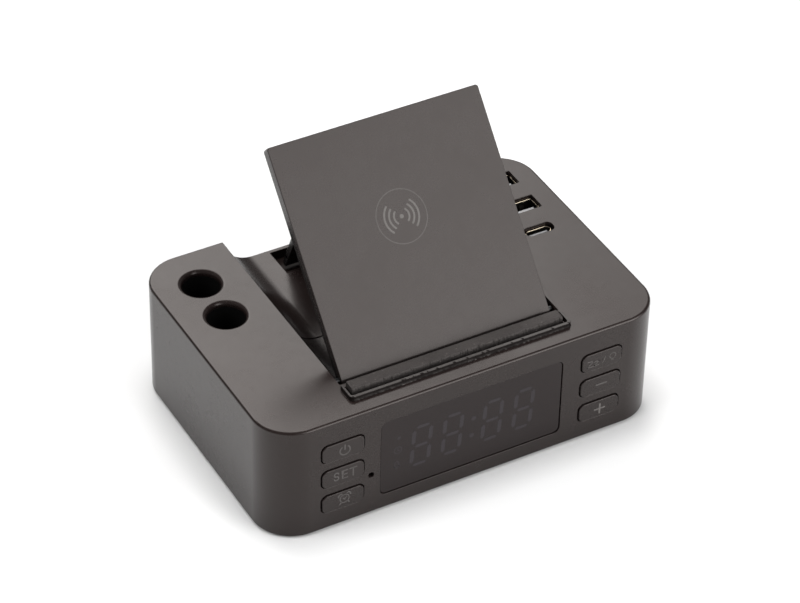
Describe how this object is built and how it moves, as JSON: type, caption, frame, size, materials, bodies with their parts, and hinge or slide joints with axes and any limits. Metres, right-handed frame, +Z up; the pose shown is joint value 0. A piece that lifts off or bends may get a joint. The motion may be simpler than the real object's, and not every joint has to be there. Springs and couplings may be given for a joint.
{
  "type": "wireless charger alarm clock",
  "caption": "Desk alarm clock with a fold-up wireless charging plate on a folding brace, phone rest, pen holes, USB charging ports and front buttons beside a segment display.",
  "frame": {"origin": "on the table under the middle of the body, at the underside of the feet", "axes": "+X to the right seen from the front, +Y to the rear, +Z up"},
  "size_m": [0.138, 0.0944, 0.0967],
  "materials": {
    "housing_plastic": "fine matte texture",
    "cover_plastic": "fine matte texture",
    "plate_plastic": "soft matte",
    "button_plastic": "fine matte",
    "lens_plastic": "smoked, semi-gloss",
    "segment_film": "unlit segments",
    "rail_plastic": "rubbery",
    "rubber": "rough",
    "tube_plastic": "matte",
    "brace_plastic": "matte",
    "pin_steel": "plain",
    "port_shell": "plated",
    "board": "solder mask",
    "black_part": "moulded",
    "white_part": "moulded",
    "cell_steel": "plain",
    "copper": "enamelled wire",
    "ferrite": "pressed"
  },
  "bodies": {
    "root": {"upper_housing": "housing_plastic", "bottom_cover": "cover_plastic", "housing_screws": "pin_steel", "rubber_feet": "rubber", "phone_rest_rail": "rail_plastic", "phone_rest_pad": "rubber", "cable_cover": "cover_plastic", "display_lens": "lens_plastic", "digit_segments": "segment_film", "display_module": "white_part", "display_pcb": "board", "display_pcb_screws": "pin_steel", "tact_switches": "black_part", "light_sensor": "black_part", "main_pcb": "board", "main_pcb_screws": "pin_steel", "controller_chips": "black_part", "power_inductors": "black_part", "buzzer": "black_part", "cell_holder": "black_part", "backup_cell": "cell_steel", "power_inlet": "port_shell", "usb_pcb": "board", "usb_pcb_screws": "pin_steel", "usb_a_port_1": "port_shell", "usb_a_port_2": "port_shell", "usb_c_port": "port_shell", "pen_tube_1": "tube_plastic", "pen_tube_2": "tube_plastic"},
    "plate": {"plate_front_panel": "plate_plastic", "plate_back_cover": "plate_plastic", "charging_coil": "copper", "ferrite_sheet": "ferrite", "coil_pcb": "board", "plate_screws": "pin_steel", "plate_hinge_pins": "pin_steel"},
    "brace_lower": {"brace_lower_link": "brace_plastic", "brace_lower_pin": "pin_steel", "brace_knee_pins": "pin_steel"},
    "brace_upper": {"brace_upper_link": "brace_plastic", "brace_upper_pin": "pin_steel"},
    "power_btn": {"power_button": "button_plastic"},
    "set_btn": {"set_button": "button_plastic"},
    "alarm_btn": {"alarm_button": "button_plastic"},
    "light_btn": {"light_button": "button_plastic"},
    "minus_btn": {"minus_button": "button_plastic"},
    "plus_btn": {"plus_button": "button_plastic"}
  },
  "joints": [
    {"name": "plate_hinge", "type": "hinge", "parent": "root", "child": "plate", "pos_m": [0, -0.02855, 0.04007], "axis": [1, 0, 0], "range_deg": [-48.8, 0]},
    {"name": "brace_foot_pivot", "type": "hinge", "parent": "root", "child": "brace_lower", "pos_m": [0, 0.0393, 0.0338], "axis": [1, 0, 0], "range_deg": [0, 66.25]},
    {"name": "brace_top_pivot", "type": "hinge", "parent": "plate", "child": "brace_upper", "pos_m": [0, 0.01626, 0.08591], "axis": [1, 0, 0], "range_deg": [-65.15, 0]},
    {"name": "power_press", "type": "slide", "parent": "root", "child": "power_btn", "axis": [0, 1, 0], "range_m": [0, 0.0005], "stiffness_N_per_m": 700, "springref_m": -0.0006},
    {"name": "set_press", "type": "slide", "parent": "root", "child": "set_btn", "axis": [0, 1, 0], "range_m": [0, 0.0005], "stiffness_N_per_m": 700, "springref_m": -0.0006},
    {"name": "alarm_press", "type": "slide", "parent": "root", "child": "alarm_btn", "axis": [0, 1, 0], "range_m": [0, 0.0005], "stiffness_N_per_m": 700, "springref_m": -0.0006},
    {"name": "light_press", "type": "slide", "parent": "root", "child": "light_btn", "axis": [0, 1, 0], "range_m": [0, 0.0005], "stiffness_N_per_m": 700, "springref_m": -0.0006},
    {"name": "minus_press", "type": "slide", "parent": "root", "child": "minus_btn", "axis": [0, 1, 0], "range_m": [0, 0.0005], "stiffness_N_per_m": 700, "springref_m": -0.0006},
    {"name": "plus_press", "type": "slide", "parent": "root", "child": "plus_btn", "axis": [0, 1, 0], "range_m": [0, 0.0005], "stiffness_N_per_m": 700, "springref_m": -0.0006}
  ],
  "couplings": [
    {"joint": "brace_foot_pivot", "follows": "plate_hinge", "ratio": -1.3554},
    {"joint": "brace_top_pivot", "follows": "plate_hinge", "ratio": 1.3331}
  ]
}
